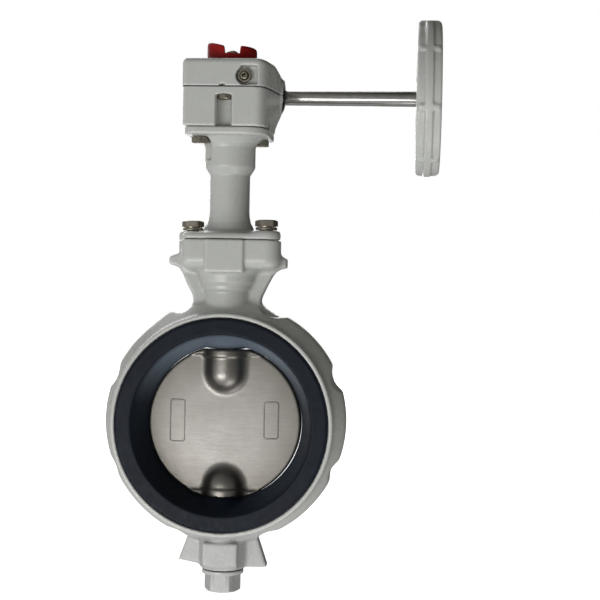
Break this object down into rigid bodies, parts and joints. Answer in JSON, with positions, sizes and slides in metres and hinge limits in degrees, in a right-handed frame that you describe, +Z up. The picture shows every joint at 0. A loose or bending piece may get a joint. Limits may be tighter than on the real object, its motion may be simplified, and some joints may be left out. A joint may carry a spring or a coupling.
{
  "type": "butterfly valve",
  "caption": "Wafer butterfly valve with a rubber seat, a stainless disc on a stem, a neck column and a worm gear box turned by a small handwheel.",
  "frame": {"origin": "centre of the pipe bore, where the stem axis crosses it", "axes": "+Y along the pipe towards the rear face, +Z up the stem to the gear box, +X along the input shaft towards the handwheel"},
  "size_m": [0.215, 0.102, 0.3755],
  "materials": {
    "paint": "semi-gloss warm grey paint over a fine cast skin",
    "seat_rubber": "smooth moulded blue-black rubber",
    "seal_rubber": "matte black rubber",
    "disc_steel": "cast stainless steel with a fine ground grain",
    "bright_steel": "polished stainless bar",
    "fastener_steel": "stainless fasteners, lightly worn",
    "bronze": "machined bronze",
    "red_plastic": "moulded dark red plastic"
  },
  "bodies": {
    "valve_body": {"body": "paint", "neck_column": "paint", "gear_housing": "paint", "gear_cover": "paint", "seat_ring": "seat_rubber", "stem_o_ring_lower": "seal_rubber", "stem_o_ring_upper": "seal_rubber", "lower_stem_o_ring": "seal_rubber", "bottom_cap_gasket": "seal_rubber", "cover_gasket": "seal_rubber", "shaft_seal": "seal_rubber", "indicator_seal": "seal_rubber", "bottom_cap": "paint", "neck_bolt_right": "fastener_steel", "neck_bolt_left": "fastener_steel", "neck_washer_right": "fastener_steel", "neck_washer_left": "fastener_steel", "gear_bolt_front": "fastener_steel", "gear_bolt_rear": "fastener_steel", "cover_screw_front": "fastener_steel", "cover_screw_left": "fastener_steel", "cover_screw_right": "fastener_steel", "stop_screw_closed": "fastener_steel", "stop_nut_closed": "fastener_steel", "stop_screw_open": "fastener_steel", "stop_nut_open": "fastener_steel", "worm_end_plug": "fastener_steel", "body_bush": "bronze", "lower_bush": "bronze", "neck_bush": "bronze", "worm_bush_left": "bronze", "worm_bush_right": "bronze"},
    "disc_train": {"disc": "disc_steel", "upper_stem": "bright_steel", "lower_stem": "bright_steel", "worm_wheel": "bronze", "gear_key": "bright_steel", "indicator_cap": "red_plastic", "indicator_screw": "fastener_steel"},
    "handwheel_train": {"worm_shaft": "bright_steel", "handwheel": "paint", "wheel_pin": "fastener_steel"}
  },
  "joints": [
    {"name": "disc_turn", "type": "hinge", "parent": "valve_body", "child": "disc_train", "pos_m": [0, 0, 0], "axis": [0, 0, 1], "range_deg": [0, 90]},
    {"name": "handwheel_turn", "type": "hinge", "parent": "valve_body", "child": "handwheel_train", "pos_m": [0.128, 0.021, 0.2145], "axis": [1, 0, 0], "range_deg": [0, 2160]}
  ],
  "couplings": [
    {"joint": "handwheel_turn", "follows": "disc_turn", "ratio": 24}
  ]
}
